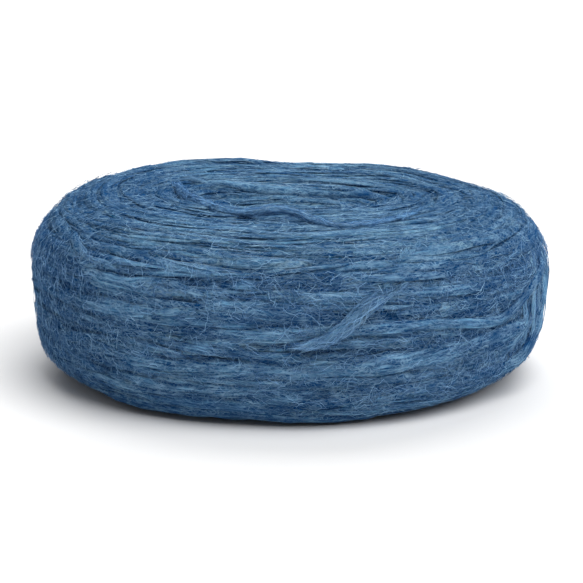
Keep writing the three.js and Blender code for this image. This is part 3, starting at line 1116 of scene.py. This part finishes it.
def plain_floor():
    half = 5.0
    mesh = bpy.data.meshes.new("floor")
    corners = [(-half, -half, 0), (half, -half, 0), (half, half, 0), (-half, half, 0)]
    mesh.from_pydata(corners, [], [(0, 1, 2, 3)])
    floor = bpy.data.objects.new("floor", mesh)
    floor.location.z = -0.0002
    bpy.context.scene.collection.objects.link(floor)
    material = bpy.data.materials.new("pale_floor")
    material.use_nodes = True
    shader = material.node_tree.nodes["Principled BSDF"]
    shader.inputs["Base Color"].default_value = (0.8, 0.8, 0.8, 1)
    shader.inputs["Roughness"].default_value = 0.9
    shader.inputs["Specular IOR Level"].default_value = 0.0
    mesh.materials.append(material)


def soft_light(name, place, softness, strength):
    """A wide soft light, far off, so that the floor is lit evenly. Softness is its width in degrees."""
    lamp = bpy.data.lights.new(name, "SUN")
    lamp.angle = math.radians(softness)
    lamp.energy = strength
    light = bpy.data.objects.new(name, lamp)
    light.location = place
    light.rotation_euler = (Vector((0, 0, 0)) - Vector(place)).to_track_quat("-Z", "Y").to_euler()
    bpy.context.scene.collection.objects.link(light)


def studio():
    world = bpy.data.worlds.new("studio")
    world.use_nodes = True
    surround = world.node_tree.nodes["Background"]
    surround.inputs["Color"].default_value = (1, 1, 1, 1)
    surround.inputs["Strength"].default_value = 0.3
    scene = bpy.context.scene
    scene.world = world
    scene.view_settings.view_transform = "Standard"
    soft_light("key", (0.42, -0.42, 0.85), 60, 2.95)
    soft_light("top", (0.0, 0.85, 0.8), 60, 2.3)
    plain_floor()


def photo_camera():
    """The photograph's view: its pixels fix the tilt, the distance and the lens."""
    tilt = math.radians(12.6)
    reach = 1.0
    lens_pixels = 2688.0
    frame_pixels = 583.0
    sensor = 36.0
    aim_pixel = (288.3, 281.0)
    data = bpy.data.cameras.new("photo_camera")
    data.sensor_width = sensor
    data.lens = lens_pixels * sensor / frame_pixels
    data.shift_x = (frame_pixels / 2 - aim_pixel[0]) / frame_pixels
    data.shift_y = (aim_pixel[1] - frame_pixels / 2) / frame_pixels
    data.clip_end = 50
    camera = bpy.data.objects.new("photo_camera", data)
    camera.location = (0, -reach * math.cos(tilt), PLATE_HEIGHT * MM / 2 + reach * math.sin(tilt))
    camera.rotation_euler = (math.pi / 2 - tilt, 0, 0)
    bpy.context.scene.collection.objects.link(camera)
    bpy.context.scene.camera = camera


# Pieces

def kept(piece, stands_for=None):
    """Fixes a finished piece to the part, in place of the node it stands for."""
    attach(piece, "root")
    if stands_for:
        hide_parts(stands_for)


def loose_end(node, route, width, shape, from_last, tint, shade, frayed_to, paleness, dyes, split):
    """A loose end of the strand, with its own fuzz, which is thickest up to the share frayed_to, and its own
    locks, as many per metre as split says. The first of the dyes is the strand's and the locks', the other
    the fuzz's."""
    line = smooth_line(np.array(route) / MM, 4)
    lap = loose_lap(line, width, tint, shade, shape)
    share = np.linspace(0, 1, len(lap.points))
    fuzziness = 1.1 + 1.3 * (1 - smoothstep(0.6 * frayed_to, 1.4 * frayed_to, share))
    name = node + "_strand"
    strand = strands.make(name, lap_lines(name, [lap]), dyes[0], step=0.0015, sides=12, flatness=0.85,
                          lump_height=0.0010, lump_scale=300.0)
    kept(strand, node)
    hair = fuzz.make(node + "_fuzz", end_skin(node + " skin", lap, fuzziness), dyes[1],
                     fibres_per_square_metre=600000.0, shortest=0.004, longest=0.011, fibre_girth=0.00016,
                     spread=0.6, rise=0.0009, curl=0.0035, curl_scale=330.0, joints=6,
                     shade_low=0.5 * paleness, shade_high=1.1 * paleness, seed=31)
    kept(hair)
    fringe = locks.make(node + "_locks", lap_lines(node + " lock lines", [lap]), dyes[0],
                        locks_per_metre=split, shortest=0.012, longest=0.03, step=0.002, lock_girth=0.0005,
                        stand=0.0006, wander=2.6, round=3.6, flatness=0.85, shade_low=0.9, shade_high=1.5,
                        seed=17)
    kept(fringe)
    path = line[::-1] * MM if from_last else line * MM
    float(distances_along(path)[-1])


def body_mesh(name):
    """The wool under the outer turns: a closed form a little inside them."""
    rings, steps = 96, 144
    distance = np.linspace(1.0, SECTION_END - 1.0, rings)
    angle = np.arange(steps) * FULL_TURN / steps
    d, a = np.meshgrid(distance, angle, indexing="ij")
    points, out, _ = turned_surface(d.ravel(), a.ravel())
    depth = 0.15 + 0.5 * smoothstep(72, 90, d.ravel())
    points = points - out * depth[:, None]
    run = a.ravel() * np.hypot(points[:, 0], points[:, 1])
    points = np.vstack([points, points[:steps].mean(0), points[-steps:].mean(0)]) * MM
    count = len(points)
    top_middle, under_middle = count - 2, count - 1
    last = (rings - 1) * steps
    faces = []
    for ring in range(0, last, steps):
        for i in range(steps):
            j = (i + 1) % steps
            faces.append((ring + i, ring + steps + i, ring + steps + j, ring + j))
    for i in range(steps):
        j = (i + 1) % steps
        faces.append((top_middle, i, j))
        faces.append((under_middle, last + j, last + i))
    mesh = bpy.data.meshes.new(name)
    mesh.from_pydata(points.tolist(), [], faces)
    mesh.shade_smooth()
    edge = np.zeros((count, 3), np.float32)
    edge[:d.size, 1] = d.ravel() * MM
    carry(mesh, run=np.r_[run, 0, 0] * MM, girth=np.ones(count), tint=np.full(count, 0.5),
          shade=np.ones(count), edge=edge)
    return mesh


def grow_fuzz(name, skin, seed, fibres, lie):
    """Single fibres over a skin: how many per square metre, and how they lie."""
    dye = top_fuzz_wool if name.startswith("top") else fuzz_wool
    piece = fuzz.make(name, skin, dye, fibre_girth=0.00015, seed=seed, fibres_per_square_metre=fibres, **lie)
    kept(piece)


# Making

photo_camera()
studio()

strand_wool = wool("strand_wool", linear(0, 50, 95), linear(96, 141, 175), linear(136, 170, 197))
# A lighter, bluer copy of the strand wool for the inner end: partly its own dye, partly painted light on its
# front, which the lamps leave in shade.
bluer_lit_end_wool = wool("bluer_lit_end_wool", linear(0, 62, 122), linear(108, 155, 197), linear(140, 175, 207))
under_wool = wool("under_wool", linear(0, 50, 100), linear(92, 139, 174), linear(118, 157, 189))
fuzz_wool = fibre_wool("fuzz_wool", linear(26, 96, 170), linear(141, 180, 209))
top_fuzz_wool = fibre_wool("top_fuzz_wool", linear(28, 94, 158), linear(142, 179, 205))
blue_fuzz_wool = fibre_wool("blue_fuzz_wool", linear(40, 103, 168), linear(128, 171, 209))
strands = strand_recipe()
locks = lock_recipe()
fuzz = fuzz_recipe()

# The inner end's high shade is partly painted light.
loose_end("inner_end", INNER_END, INNER_END_WIDTH, INNER_END_SHAPE, from_last=True,
          tint=-0.2, shade=2.2, frayed_to=0.16, paleness=1.1, dyes=(bluer_lit_end_wool, blue_fuzz_wool), split=120.0)
loose_end("outer_end", OUTER_END, OUTER_END_WIDTH, OUTER_END_SHAPE, from_last=False,
          tint=0.4, shade=1.3, frayed_to=0.55, paleness=1.2, dyes=(strand_wool, fuzz_wool), split=500.0)

body = bpy.data.objects.new("wound_body", body_mesh("wound_body"))
bpy.context.scene.collection.objects.link(body)
body.data.materials.append(under_wool)
kept(body, "wound_plate")

chance = np.random.default_rng(7)
laps = wind_turns(chance) + crossing_laps(chance)
turns = strands.make("wound_turns", lap_lines("turn lines", laps), strand_wool, step=0.0055, sides=8,
                     flatness=STRAND_FLATNESS, lump_height=0.0016, lump_scale=220.0)
kept(turns)

thatch = {"upper_veils": [], "lower_veils": []}
for lap in veils(chance) + wisps(chance):
    thatch["upper_veils" if lap.points[:, 2].mean() > UPPER_VEILS_FROM else "lower_veils"].append(lap)
for name, flatness in (("upper_veils", 0.24), ("lower_veils", 0.32)):
    thatch[name] = strands.make(name, lap_lines(name + " lines", thatch[name]), strand_wool, step=0.008,
                                sides=6, flatness=flatness, lump_height=0.0008, lump_scale=260.0)
    kept(thatch[name])

strays = strands.make("stray_fibres", lap_lines("stray lines", stray_fibres()), fuzz_wool, step=0.0008,
                      sides=4, flatness=1.0, lump_height=0.0, lump_scale=200.0)
kept(strays)

off_the_underside = 4
halves = {"front_locks": [], "back_locks": []}
for lap in laps:
    if lap.points[:, 2].max() > off_the_underside:
        halves["front_locks" if lap.points[:, 1].mean() < 0 else "back_locks"].append(lap)
for name, chosen in halves.items():
    piece = locks.make(name, lap_lines(name + " lines", chosen), strand_wool, locks_per_metre=40.0,
                       shortest=0.015, longest=0.05, step=0.0045, lock_girth=0.00055, stand=0.0007,
                       wander=2.6, round=3.6, flatness=STRAND_FLATNESS, shade_low=0.8, shade_high=1.35,
                       seed=11)
    kept(piece)

for number, (region, lies_there) in enumerate(REGIONS.items()):
    part = region.split("_")[0]
    veil = thatch["upper_veils" if part == "top" else "lower_veils"]
    grow_fuzz(region + "_turn_fuzz", strand_skin(region + " turn skin", turns, lies_there), 21 + number,
              TURN_FIBRES[part], LAID)
    grow_fuzz(region + "_veil_fuzz", strand_skin(region + " veil skin", veil, lies_there), 31 + number,
              VEIL_FIBRES[part], LAID)
    grow_fuzz(region + "_curled_fuzz", form_skin(region + " form skin", lies_there), 41 + number,
              CURLED_FIBRES[part], CURLED)
